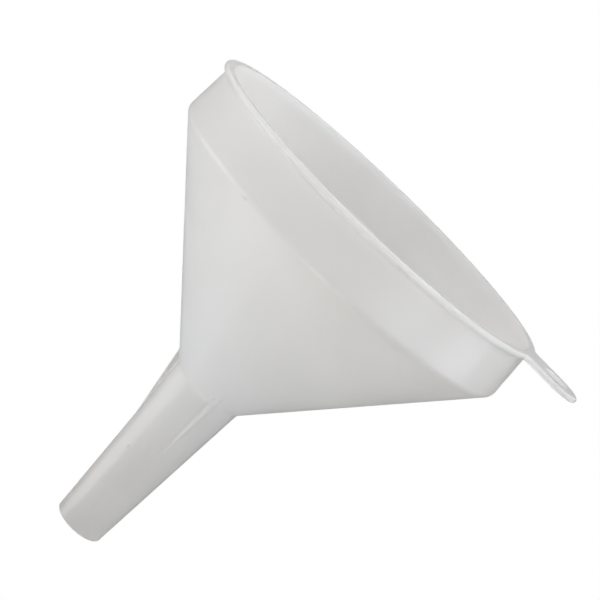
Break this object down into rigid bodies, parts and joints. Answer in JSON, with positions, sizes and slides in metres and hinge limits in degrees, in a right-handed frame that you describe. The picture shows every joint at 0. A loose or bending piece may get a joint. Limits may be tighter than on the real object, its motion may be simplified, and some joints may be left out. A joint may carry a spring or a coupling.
{
  "type": "funnel",
  "caption": "Kitchen funnel with a flanged rim, an upright collar, a long tapered spout with air-gap ribs, and a flat tongue to hang it by.",
  "frame": {"origin": "on the funnel's axis, at the throat where the cone meets the spout, which is the seat for a bottle's neck", "axes": "+Z along the axis towards the mouth, +X along the hanging tongue, +Y at right angles to both"},
  "size_m": [0.194, 0.17, 0.188],
  "materials": {
    "milky_plastic": "natural polypropylene: milky white and translucent, satin, uncoloured"
  },
  "bodies": {
    "root": {"rim_lip": "milky_plastic", "collar": "milky_plastic", "shoulder": "milky_plastic", "cone": "milky_plastic", "throat": "milky_plastic", "spout": "milky_plastic", "air_rib_1": "milky_plastic", "air_rib_2": "milky_plastic", "air_rib_3": "milky_plastic", "hanging_tongue": "milky_plastic"}
  },
  "joints": []
}
